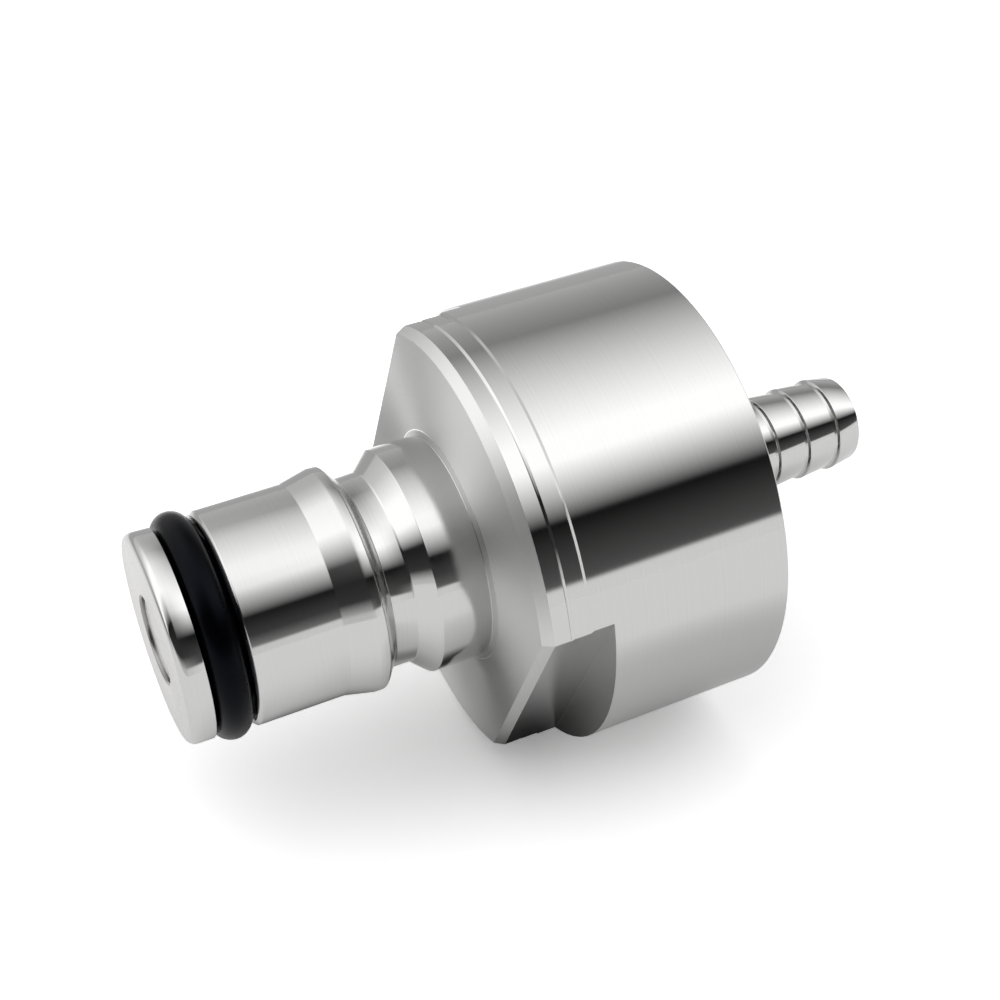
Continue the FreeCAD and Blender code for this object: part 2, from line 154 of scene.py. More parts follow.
@dataclass(frozen=True)
class SteelFinish:
    """Stainless steel cut on a lathe: fine concentric marks that blur reflections across them.

    Attributes:
        name: The material's name.
        light: Colour between the tool marks.
        dark: Colour in the tool marks.
        roughness: Roughness at its lowest.
        roughness_spread: How much rougher the smudges and marks are.
        mark_spacing: Distance between tool marks, in mm, drawn as coarse as it needs to show.
        mark_depth: Depth of the marks, in mm.
        anisotropy: How much further reflections blur across the marks than along them.
    """

    name: str
    light: str
    dark: str
    roughness: float
    roughness_spread: float
    mark_spacing: float
    mark_depth: float
    anisotropy: float

    def material(self) -> bpy.types.Material:
        """Makes the finish's material on Object coordinates.

        Returns:
            The new material.
        """
        material = new_material(self.name)
        tree = material.node_tree
        place = add_node(tree, "ShaderNodeTexCoord").outputs["Object"]
        along = add_node(tree, "ShaderNodeSeparateXYZ", links={0: place})
        across = add_node(
            tree, "ShaderNodeVectorMath", {1: (0, 1, 1)}, {0: place}, operation="MULTIPLY"
        )
        radius = add_node(
            tree, "ShaderNodeVectorMath", links={0: across.outputs[0]}, operation="LENGTH"
        )
        # The tool's path runs along the axis on a cylinder and along the radius on a face
        path = add_node(
            tree, "ShaderNodeMath", links={0: along.outputs["X"], 1: radius.outputs["Value"]}
        )
        marks = add_node(
            tree,
            "ShaderNodeTexNoise",
            {"Scale": 1 / (self.mark_spacing * MM), "Detail": 3.0, "Roughness": 0.7},
            {"W": path.outputs[0]},
            noise_dimensions="1D",
        )
        smudges = add_node(
            tree,
            "ShaderNodeTexNoise",
            {"Scale": 1 / (SMUDGE_SPACING * MM), "Detail": 4.0},
            {"Vector": place},
        )
        colour = add_node(
            tree,
            "ShaderNodeMix",
            {6: linear(self.dark), 7: linear(self.light)},
            {0: marks.outputs["Fac"]},
            data_type="RGBA",
        )
        uneven = add_node(
            tree, "ShaderNodeMath", links={0: marks.outputs["Fac"], 1: smudges.outputs["Fac"]}
        )
        roughness = add_node(
            tree,
            "ShaderNodeMapRange",
            {
                "From Min": SMOOTHEST,
                "From Max": ROUGHEST,
                "To Min": self.roughness,
                "To Max": self.roughness + self.roughness_spread,
            },
            {"Value": uneven.outputs[0]},
        )
        bump = add_node(
            tree,
            "ShaderNodeBump",
            {"Distance": self.mark_depth * MM},
            {"Height": marks.outputs["Fac"]},
        )
        round_axis = add_node(
            tree, "ShaderNodeVectorMath", {0: tuple(AXIS)}, {1: place}, operation="CROSS_PRODUCT"
        )
        shader = add_node(
            tree,
            "ShaderNodeBsdfPrincipled",
            {"Metallic": 1.0, "Anisotropic": self.anisotropy, "Anisotropic Rotation": 0.25},
            {
                "Base Color": colour.outputs[2],
                "Roughness": roughness.outputs[0],
                "Normal": bump.outputs[0],
                "Tangent": round_axis.outputs[0],
            },
        )
        add_node(tree, "ShaderNodeOutputMaterial", links={"Surface": shader.outputs[0]})
        return material


@dataclass(frozen=True)
class RubberFinish:
    """Moulded rubber or silicone: a smooth skin with a fine grain and a soft, broad gloss.

    Attributes:
        name: The material's name.
        colour: The rubber's colour.
        dust_and_painted_sheen: Colour of the dusty patches on its skin, paler; on the nitrile it is
            tinted blue as a painted sheen.
        roughness: Roughness of the clean skin.
        grain: Size of the moulded grain, in mm.
        grain_depth: Depth of the grain, in mm.
        gloss: Strength of its reflections, where 0.5 is plain plastic.
        sheen: Colour of its reflections.
        milkiness: How far light goes into it, as a share, for translucent silicone.
    """

    name: str
    colour: str
    dust_and_painted_sheen: str
    roughness: float
    grain: float
    grain_depth: float
    gloss: float
    sheen: str
    milkiness: float

    def material(self) -> bpy.types.Material:
        """Makes the finish's material on Object coordinates.

        Returns:
            The new material.
        """
        material = new_material(self.name)
        tree = material.node_tree
        place = add_node(tree, "ShaderNodeTexCoord").outputs["Object"]
        grain = add_node(
            tree,
            "ShaderNodeTexNoise",
            {"Scale": 1 / (self.grain * MM), "Detail": 2.0},
            {"Vector": place},
        )
        dust = add_node(
            tree,
            "ShaderNodeTexNoise",
            {"Scale": 1 / (DUST_SPACING * MM), "Detail": 5.0},
            {"Vector": place},
        )
        patches = add_node(
            tree,
            "ShaderNodeMapRange",
            {"From Min": 0.5, "From Max": 0.8},
            {"Value": dust.outputs["Fac"]},
        )
        # Dusty patches; on the nitrile their blue tint is a painted sheen
        colour = add_node(
            tree,
            "ShaderNodeMix",
            {6: linear(self.colour), 7: linear(self.dust_and_painted_sheen)},
            {0: patches.outputs[0]},
            data_type="RGBA",
        )
        roughness = add_node(
            tree,
            "ShaderNodeMapRange",
            {"To Min": self.roughness, "To Max": self.roughness + DUST_ROUGHNESS},
            {"Value": dust.outputs["Fac"]},
        )
        bump = add_node(
            tree,
            "ShaderNodeBump",
            {"Distance": self.grain_depth * MM},
            {"Height": grain.outputs["Fac"]},
        )
        shader = add_node(
            tree,
            "ShaderNodeBsdfPrincipled",
            {
                "Specular IOR Level": self.gloss,
                "Specular Tint": linear(self.sheen),
                "Subsurface Weight": self.milkiness,
                "Subsurface Scale": MM,
            },
            {
                "Base Color": colour.outputs[2],
                "Roughness": roughness.outputs[0],
                "Normal": bump.outputs[0],
            },
        )
        add_node(tree, "ShaderNodeOutputMaterial", links={"Surface": shader.outputs[0]})
        return material


# Turned and polished stainless steel: mirror-like, with marks that only just show
POLISHED = SteelFinish("polished_steel", "#DCDCDB", "#D4D4D3", 0.08, 0.03, 0.16, 0.00001, 0.7)
# Faced on the lathe: rings round the axis fan reflections out into radial streaks
FACED = SteelFinish("faced_steel", "#DEDEDD", "#D6D6D5", 0.72, 0.04, 0.2, 0.0001, 1.0)
# Bevels broken after turning: fine, even and lighter than the polish beside them
BROKEN = SteelFinish("broken_edge_steel", "#E6E6E4", "#DADAD8", 0.42, 0.08, 0.2, 0.0001, 0.2)
# Milled and lapped, with no grain that shows: the wrench flats
MILLED = SteelFinish("milled_steel", "#DCDCDB", "#D4D4D3", 0.16, 0.04, 0.2, 0.00001, 0.0)
# Cut by the mill's end, where the wrench flats stop: rougher than the polish, and painted darker as
# shade from the dark flat and floor that it faces
END_MILLED = SteelFinish("end_milled_steel_painted_shade", "#BABAB9", "#B4B4B3", 0.34, 0.02, 1.2, 0.00001, 0.0)
# Turned and brushed by hand with fine paper: the nose scatters light evenly, and its colour is
# painted lighter than the polish as painted light
SATIN = SteelFinish("satin_steel_painted_light", "#ECEBE9", "#DFDEDB", 0.2, 0.12, 0.2, 0.0003, 0.3)
# Bored and left as cut: coarser marks, and a darker colour as painted shade inside the bores and in
# the gap round the poppet
BORED = SteelFinish("bored_steel_painted_shade", "#B4B3B1", "#9A9997", 0.26, 0.1, 0.24, 0.001, 0.5)
# Cold-drawn spring wire: a dull grey skin
DRAWN = SteelFinish("drawn_wire", "#B4B3AF", "#9C9B98", 0.3, 0.1, 0.5, 0.0002, 0.2)
# Nitrile O-ring: black, lightly greased, so that it has a soft sheen; its dusty patches are tinted
# blue as a painted sheen
NITRILE = RubberFinish(
    "nitrile_rubber", "#010102", "#06080D", 0.2, 0.12, 0.001, 0.1, "#D8DFFC", 0.0
)
# Moulded silicone gasket: milky and slightly see-through
SILICONE = RubberFinish(
    "milky_silicone", "#E2E2DC", "#ECECE8", 0.42, 0.3, 0.001, 0.5, "#FFFFFF", 0.3
)


@dataclass(frozen=True)
class Corner:
    """One corner of a turned outline, in mm.

    Attributes:
        along: Its station along the axis.
        radius: Its distance from the axis.
        edge: How far the rounding of the corner reaches, or 0 for a sharp one.
    """

    along: float
    radius: float
    edge: float = 0.0


def spin_round(mesh: bmesh.types.BMesh) -> None:
    """Spins a mesh that is only an outline once round the axis.

    Args:
        mesh: The outline, in mm.
    """
    bmesh.ops.spin(
        mesh,
        geom=[*mesh.verts, *mesh.edges],
        cent=CENTRE,
        axis=AXIS,
        angle=math.tau,
        steps=STEPS_ROUND,
        use_merge=True,
        use_duplicate=False,
    )


def turned(corners: Sequence[Corner]) -> bmesh.types.BMesh:
    """Turns the outline of a bored piece about the axis.

    Args:
        corners: The outline's corners in order, all round.

    Returns:
        The turned mesh, in mm, with its sharp rings marked.
    """
    mesh = bmesh.new()
    verts = [mesh.verts.new((c.along, c.radius, 0.0)) for c in corners]
    mesh.faces.new(verts)
    for reach in sorted({c.edge for c in corners if c.edge}):
        bmesh.ops.bevel(
            mesh,
            geom=[v for v, c in zip(verts, corners) if c.edge == reach],
            offset=reach,
            offset_type="OFFSET",
            segments=EDGE_SEGMENTS if reach < WIDE_EDGE else 2 * EDGE_SEGMENTS,
            profile=ROUND_PROFILE,
            affect="VERTICES",
            material=-1,
        )
    bmesh.ops.delete(mesh, geom=list(mesh.faces), context="FACES_ONLY")
    spin_round(mesh)
    bmesh.ops.remove_doubles(mesh, verts=list(mesh.verts), dist=SAME_PLACE / 2)
    sharp = {(round(c.along, 2), round(c.radius, 2)) for c in corners if not c.edge}
    for edge in mesh.edges:
        spots = {(round(v.co.x, 2), round(math.hypot(v.co.y, v.co.z), 2)) for v in edge.verts}
        if len(spots) == 1 and spots <= sharp:
            edge.smooth = False
    return mesh


def cut_off(
    mesh: bmesh.types.BMesh, point: Vector, normal: Vector, front: float, rear: float
) -> None:
    """Cuts away what lies outside a plane, between two stations, and leaves the cut open.

    Args:
        mesh: The mesh, in mm.
        point: A point of the plane.
        normal: The plane's outward normal.
        front: Station that the cut starts at.
        rear: Station that it ends at.
    """

    def inside(face: bmesh.types.BMFace) -> bool:
        """Says whether a face lies between the stations."""
        return front - SAME_PLACE < face.calc_center_median().x < rear + SAME_PLACE

    faces = [f for f in mesh.faces if inside(f)]
    edges = {e for f in faces for e in f.edges}
    verts = {v for f in faces for v in f.verts}
    bmesh.ops.bisect_plane(
        mesh, geom=[*faces, *edges, *verts], dist=SAME_PLACE / 100, plane_co=point, plane_no=normal
    )
    outside = [
        f
        for f in mesh.faces
        if inside(f) and (f.calc_center_median() - point).dot(normal) > SAME_PLACE / 10
    ]
    bmesh.ops.delete(mesh, geom=outside, context="FACES")


def fill_plane(
    mesh: bmesh.types.BMesh, point: Vector, normal: Vector, front: float, rear: float
) -> None:
    """Fills the open loop that lies in a plane between two stations.

    Args:
        mesh: The mesh, in mm.
        point: A point of the plane.
        normal: The plane's normal.
        front: Station that the loop starts at.
        rear: Station that it ends at.
    """

    def on_plane(vert: bmesh.types.BMVert) -> bool:
        """Says whether a vertex lies in the plane between the stations."""
        near = abs((vert.co - point).dot(normal)) < SAME_PLACE
        return near and front - SAME_PLACE < vert.co.x < rear + SAME_PLACE

    loop = [e for e in mesh.edges if len(e.link_faces) < 2 and all(map(on_plane, e.verts))]
    bmesh.ops.edgeloop_fill(mesh, edges=loop, use_smooth=True)


def coil(
    mesh: bmesh.types.BMesh,
    section: Iterable[Any],
    stretches: Sequence[tuple[float, float]],
    steps: int,
) -> None:
    """Winds a closed section round the axis in a right-handed coil.

    Args:
        mesh: The mesh that holds the section, in mm.
        section: The section's face, edges and vertices.
        stretches: Turns and advance along the axis of each stretch, in order.
        steps: Steps in each turn.
    """
    geometry = list(section)
    for turns, advance in stretches:
        count = max(1, round(turns * steps))
        geometry = bmesh.ops.spin(
            mesh,
            geom=geometry,
            cent=CENTRE,
            axis=AXIS,
            dvec=AXIS * (advance / count),
            angle=math.tau * turns,
            steps=count,
            use_duplicate=False,
        )["geom_last"]


def publish(
    mesh: bmesh.types.BMesh,
    name: str,
    body: str,
    materials: Sequence[bpy.types.Material],
    replaces: Sequence[str] = (),
) -> bpy.types.Object:
    """Makes a finished mesh a piece of the model.

    Args:
        mesh: The mesh, in mm. It is freed.
        name: The piece's name.
        body: The body that it rides on.
        materials: The piece's materials, in the order of its faces' material numbers.
        replaces: The CAD nodes that it stands for.

    Returns:
        The new object.
    """
    bmesh.ops.transform(mesh, matrix=Matrix.Scale(MM, 4), verts=list(mesh.verts))
    bmesh.ops.recalc_face_normals(mesh, faces=list(mesh.faces))
    for face in mesh.faces:
        face.smooth = True
    for edge in mesh.edges:
        if edge.is_manifold and edge.calc_face_angle(0.0) > SHARP_ANGLE:
            edge.smooth = False
    data = bpy.data.meshes.new(name)
    mesh.to_mesh(data)
    mesh.free()
    piece = bpy.data.objects.new(name, data)
    bpy.context.scene.collection.objects.link(piece)
    for material in materials:
        data.materials.append(material)
    weighted = piece.modifiers.new("even_shading", "WEIGHTED_NORMAL")
    weighted.mode = "FACE_AREA"
    weighted.weight = 100
    weighted.keep_sharp = True
    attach(piece, body)
    if replaces:
        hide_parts(*replaces)
    low, high = span(data)
    log.info("%s: %d faces, x %.2f to %.2f mm", name, len(data.polygons), low / MM, high / MM)
    return piece


def span(data: bpy.types.Mesh) -> tuple[float, float]:
    """Gives a mesh's lowest and highest station along the axis, in metres.

    Args:
        data: The mesh, in metres.

    Returns:
        The two stations.
    """
    stations = [v.co.x for v in data.vertices]
    return min(stations), max(stations)


class Region(Enum):
    """The regions of the cap's body that are finished differently, by material number."""

    POLISHED = 0
    SATIN = 1
    BORED = 2
    FACED = 3
    BROKEN = 4
    MILLED = 5
    END_MILLED = 6


@dataclass
class CapBody:
    """The one turned piece: ball-lock post, flange and barrel, bored for valve and bottle.

    Attributes are sizes in mm, named as a turner would call them.
    """

    barrel_radius: float = 16.5
    barrel_length: float = 18.64
    rim_edge: float = 0.1
    front_band_step: float = 0.23
    second_band_step: float = 0.18
    flange_bevel_width: float = 0.38
    flange_bevel_length: float = 0.78
    line_station: float = 1.96
    line_depth: float = 0.08
    line_entry: float = 0.06
    line_cone: float = 0.16
    step_station: float = 3.46
    step_length: float = 0.12
    flat_distance: float = 13.0
    flat_length: float = 5.09
    flat_roll: float = 22.5
    nose_radius: float = 7.69
    nose_length: float = 1.8
    nose_round: float = 0.6
    ring_groove_length: float = 2.89
    ring_root: float = 5.62
    sleeve_radius: float = 7.88
    sleeve_length: float = 6.63
    sleeve_edge: float = 0.28
    lock_ramp_length: float = 2.15
    lock_radius: float = 8.36
    lock_land_length: float = 0.66
    lock_back_length: float = 0.9
    ball_groove_radius: float = 7.13
    ball_groove_length: float = 1.73
    rear_ramp_length: float = 1.32
    land_radius: float = 8.37
    land_length: float = 3.69
    base_radius: float = 8.72
    base_length: float = 0.26
    valve_hole_radius: float = 3.15
    valve_hole_length: float = 2.2
    valve_hole_edge: float = 0.12
    valve_seat_length: float = 1.6
    chamber_radius: float = 4.75
    insert_bore_radius: float = 5.0
    insert_bore_length: float = 9.0
    cavity_radius: float = 13.95
    cavity_depth: float = 12.3
    mouth_bevel: float = 0.8
    recess_radius: float = 6.65
    recess_depth: float = 1.24
    fine_edge: float = 0.03
    soft_edge: float = 0.1

    @property
    def flange(self) -> float:
        """Station of the flange face."""
        return -self.barrel_length

    @property
    def front_band(self) -> float:
        """Radius of the band behind the flange's bevel."""
        return self.barrel_radius - self.front_band_step

    @property
    def floor(self) -> float:
        """Station of the bottle cavity's floor."""
        return -self.cavity_depth

    def outside(self) -> list[Corner]:
        """Gives the outline from the nose's rim back to the rim of the barrel.

        Returns:
            The outline's corners.
        """
        fine = self.fine_edge
        soft = self.soft_edge
        post = []
        station = self.flange
        line = self.flange + self.line_station
        line_floor = self.front_band - self.line_depth
        second = self.barrel_radius - self.second_band_step
        step = self.flange + self.step_station
        steps_forward = (
            (0.0, self.base_radius, fine),
            (self.base_length, self.land_radius, fine),
            (self.land_length, self.land_radius, fine),
            (self.rear_ramp_length, self.ball_groove_radius, soft),
            (self.ball_groove_length, self.ball_groove_radius, soft),
            (self.lock_back_length, self.lock_radius, soft),
            (self.lock_land_length, self.lock_radius, soft),
            (self.lock_ramp_length, self.sleeve_radius, fine),
            (self.sleeve_length - self.sleeve_edge, self.sleeve_radius, fine),
            (self.sleeve_edge, self.sleeve_radius - self.sleeve_edge, fine),
            (0.0, self.ring_root, soft),
            (self.ring_groove_length, self.ring_root, soft),
            (0.0, self.nose_radius, soft),
            (self.nose_length, self.nose_radius, self.nose_round),
        )
        for length, radius, edge in steps_forward:
            station -= length
            post.append(Corner(station, radius, edge))
        barrel = [
            Corner(self.flange, self.front_band - self.flange_bevel_width),
            Corner(self.flange + self.flange_bevel_length, self.front_band),
            Corner(line, self.front_band),
            Corner(line + self.line_entry, line_floor),
            Corner(line + self.line_entry + self.line_cone, second),
            Corner(step, second),
            Corner(step + self.step_length, self.barrel_radius),
            Corner(self.flange + self.flat_length, self.barrel_radius),
            Corner(-self.rim_edge, self.barrel_radius, fine),
            Corner(0.0, self.barrel_radius - self.rim_edge, fine),
        ]
        return post[::-1] + barrel

    def inside(self, nose: float) -> list[Corner]:
        """Gives the outline from the cavity's mouth forward to the valve hole.

        Args:
            nose: Station of the nose's face.

        Returns:
            The bores' corners.
        """
        soft = self.soft_edge
        seat = nose + self.valve_hole_length
        recess = self.floor - self.recess_depth
        bore_end = self.floor - self.insert_bore_length
        return [
            Corner(0.0, self.cavity_radius + self.mouth_bevel, soft),
            Corner(-self.mouth_bevel, self.cavity_radius, soft),
            Corner(self.floor, self.cavity_radius, soft),
            Corner(self.floor, self.recess_radius, soft),
            Corner(recess, self.recess_radius, soft),
            Corner(recess, self.insert_bore_radius, soft),
            Corner(bore_end, self.insert_bore_radius, soft),
            Corner(bore_end, self.chamber_radius, soft),
            Corner(seat + self.valve_seat_length, self.chamber_radius, soft),
            Corner(seat, self.valve_hole_radius, soft),
            Corner(nose + self.valve_hole_edge, self.valve_hole_radius, self.fine_edge),
            Corner(nose, self.valve_hole_radius + self.valve_hole_edge, self.fine_edge),
        ]

    def mill_flat(self, mesh: bmesh.types.BMesh, side: int) -> None:
        """Mills one wrench flat, with its bevel at the flange face and its end wall.

        Args:
            mesh: The turned mesh, not yet rolled.
            side: 1 or -1, the side of the axis along Y.
        """
        outward = Vector((0.0, side, 0.0))
        bevel_rear = self.flange + self.flange_bevel_length
        wall = self.flange + self.flat_length
        on_flat = outward * self.flat_distance
        on_bevel = on_flat + AXIS * bevel_rear
        bevel_normal = Vector((-self.flange_bevel_width, self.flange_bevel_length * side, 0.0))
        bevel_normal.normalize()
        cut_off(mesh, on_bevel, bevel_normal, self.flange, bevel_rear)
        cut_off(mesh, on_flat, outward, bevel_rear, wall)
        for station in (bevel_rear, wall):
            ends = [
                v
                for v in mesh.verts
                if abs(v.co.x - station) < SAME_PLACE
                and abs(v.co.y - self.flat_distance * side) < SAME_PLACE
                and any(len(e.link_faces) == 1 for e in v.link_edges)
            ]
            mesh.edges.new(ends)
        on_wall = AXIS * wall
        fill_plane(mesh, on_bevel, bevel_normal, self.flange, bevel_rear)
        fill_plane(mesh, on_flat, outward, bevel_rear, wall)
        fill_plane(mesh, on_wall, AXIS, wall, wall)

    def region(self, middle: Vector, nose: float, outward: Vector) -> Region:
        """Tells how a face of the body is finished.

        Args:
            middle: The face's middle, in mm.
            nose: Station of the nose's face.
            outward: Outward normal of a wrench flat.

        Returns:
            The region that the face belongs to: the first one that fits it.
        """
        radius = math.hypot(middle.y, middle.z)
        bevel_rear = self.flange + self.flange_bevel_length - SAME_PLACE
        wall = self.flange + self.flat_length
        base = self.flange - self.base_length / 2
        on_base = abs(middle.x - base) < self.base_length / 2 + SAME_PLACE
        on_flat = abs(abs(middle.dot(outward)) - self.flat_distance) < SAME_PLACE
        in_cavity = self.floor - SAME_PLACE < middle.x < -SAME_PLACE
        fits = (
            (Region.BORED, radius < self.valve_hole_radius + self.valve_hole_edge),
            (Region.SATIN, middle.x < nose + SAME_PLACE),
            (Region.MILLED, on_flat and bevel_rear < middle.x < wall),
            (Region.FACED, on_base and radius < self.base_radius),
            (Region.FACED, abs(middle.x - self.flange) < SAME_PLACE),
            (Region.BROKEN, self.flange < middle.x < bevel_rear and radius > self.base_radius),
            (Region.END_MILLED, abs(middle.x - wall) < SAME_PLACE),
            (Region.BORED, in_cavity and radius < self.cavity_radius + self.mouth_bevel),
            (Region.BORED, radius < self.insert_bore_radius + SAME_PLACE),
        )
        return next((region for region, fit in fits if fit), Region.POLISHED)

    def build(self, materials: Sequence[bpy.types.Material]) -> bpy.types.Object:
        """Makes the body.

        Args:
            materials: The regions' materials, by number.

        Returns:
            The finished piece.
        """
        outside = self.outside()
        nose = outside[0].along
        mesh = turned(outside + self.inside(nose))
        self.mill_flat(mesh, 1)
        self.mill_flat(mesh, -1)
        bmesh.ops.rotate(
            mesh,
            cent=CENTRE,
            matrix=Matrix.Rotation(math.radians(self.flat_roll), 3, "X"),
            verts=list(mesh.verts),
        )
        outward = Vector((0.0, 1.0, 0.0))
        outward.rotate(Matrix.Rotation(math.radians(self.flat_roll), 3, "X"))
        for face in mesh.faces:
            region = self.region(face.calc_center_median(), nose, outward)
            face.material_index = region.value
        return publish(mesh, "cap_shell", "cap", materials, ["cap_body"])


@dataclass
class BottleThread:
    """Ridge of the bottle's thread, left standing on the cavity's wall. Sizes in mm."""

    root_radius: float = 13.99
    crest_radius: float = 12.85
    root_width: float = 1.7
    crest_width: float = 0.8
    pitch: float = 2.7
    turns: float = 2.6
    start: float = -10.0
    steps: int = 96

    def build(self, material: bpy.types.Material) -> bpy.types.Object:
        """Winds the ridge up the cavity's wall.

        Args:
            material: Bored steel.

        Returns:
            The finished piece.
        """
        mesh = bmesh.new()
        half_root = self.root_width / 2
        half_crest = self.crest_width / 2
        middle = self.start + half_root
        corners = (
            (middle - half_root, self.root_radius),
            (middle - half_crest, self.crest_radius),
            (middle + half_crest, self.crest_radius),
            (middle + half_root, self.root_radius),
        )
        face = mesh.faces.new([mesh.verts.new((x, radius, 0.0)) for x, radius in corners])
        section = [face, *face.edges, *face.verts]
        coil(mesh, section, [(self.turns, self.pitch * self.turns)], self.steps)
        return publish(mesh, "bottle_thread_ridge", "cap", [material])


@dataclass
class BarbInsert:
    """Bored insert with a spigot, a hexagon and three barb ridges. Sizes in mm."""

    front: float
    tip: float
    floor: float = -12.3
    spigot_radius: float = 4.97
    hexagon_width: float = 14.0
    hexagon_length: float = 3.5
    hexagon_edge: float = 0.6
    bore_radius: float = 2.1
    neck_radius: float = 3.42
    barb_radius: float = 3.65
    barb_start: float = 7.45
    barb_pitch: float = 2.67
    barb_shoulder: float = 0.33
    barb_run_up: float = 0.2
    barb_run_up_rise: float = 0.04
    tip_radius: float = 3.3
    tip_edge: float = 0.22
    tip_bore_edge: float = 0.15
    spigot_edge: float = 0.3
    ridges: int = 3
    fine_edge: float = 0.03

    def build(self, material: bpy.types.Material) -> bpy.types.Object:
        """Turns the insert and mills its hexagon.

        Args:
            material: Polished steel.

        Returns:
            The finished piece.
        """
        corner_radius = self.hexagon_width / math.sqrt(3)
        rear = self.floor + self.hexagon_length
        fine = self.fine_edge
        corners = [
            Corner(self.front, self.bore_radius, fine),
            Corner(self.front, self.spigot_radius, self.spigot_edge),
            Corner(self.floor, self.spigot_radius),
            Corner(self.floor, corner_radius),
            Corner(rear - self.hexagon_edge, corner_radius),
            Corner(rear, corner_radius - self.hexagon_edge * math.sqrt(3)),
            Corner(rear, self.neck_radius),
        ]
        for ridge in range(self.ridges):
            foot = self.barb_start + self.barb_pitch * ridge
            corners += [
                Corner(foot, self.neck_radius),
                Corner(foot + self.barb_run_up, self.neck_radius + self.barb_run_up_rise),
                Corner(foot + self.barb_shoulder, self.barb_radius, fine),
            ]
        corners += [
            Corner(self.tip, self.tip_radius, self.tip_edge),
            Corner(self.tip, self.bore_radius + self.tip_bore_edge, fine),
            Corner(self.tip - self.tip_bore_edge, self.bore_radius, fine),
        ]
        mesh = turned(corners)
        for side in range(HEXAGON_SIDES):
            turn = Matrix.Rotation(math.tau * side / HEXAGON_SIDES, 3, "X")
            outward = turn @ Vector((0.0, 1.0, 0.0))
            on_side = outward * (self.hexagon_width / 2)
            cut_off(mesh, on_side, outward, self.floor, rear)
            fill_plane(mesh, on_side, outward, self.floor, rear)
        return publish(mesh, "hose_barb", "cap", [material], ["barb_insert"])


@dataclass
class RubberRing:
    """A ring of round rubber cord that fills its CAD node's box."""

    name: str
    node: str
    slot: str
    cord_steps: int = 40

    def build(self, material: bpy.types.Material) -> bpy.types.Object:
        """Spins the cord's round section about the axis.

        Args:
            material: The rubber.

        Returns:
            The finished piece.
        """
        low, high = (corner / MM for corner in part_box(self.node))
        cord = (high.x - low.x) / 2
        mesh = bmesh.new()
        middle = Vector(((low.x + high.x) / 2, high.y - cord, 0.0))
        bmesh.ops.create_circle(
            mesh, radius=cord, segments=self.cord_steps, matrix=Matrix.Translation(middle)
        )
        spin_round(mesh)
        return publish(mesh, self.name, "cap", [material], [self.node])


@dataclass
class BottleGasket:
    """Flat silicone gasket on the cavity's floor. Sizes in mm."""

    hole_radius: float = 8.6
    edge: float = 0.25

    def build(self, material: bpy.types.Material) -> bpy.types.Object:
        """Turns the gasket to its CAD node's thickness and outside.

        Args:
            material: Silicone.

        Returns:
            The finished piece.
        """
        low, high = (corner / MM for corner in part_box("bottle_gasket"))
        mesh = turned(
            [
                Corner(low.x, self.hole_radius, self.edge),
                Corner(low.x, high.y, self.edge),
                Corner(high.x, high.y, self.edge),
                Corner(high.x, self.hole_radius, self.edge),
            ]
        )
        return publish(mesh, "silicone_gasket", "cap", [material], ["bottle_gasket"])


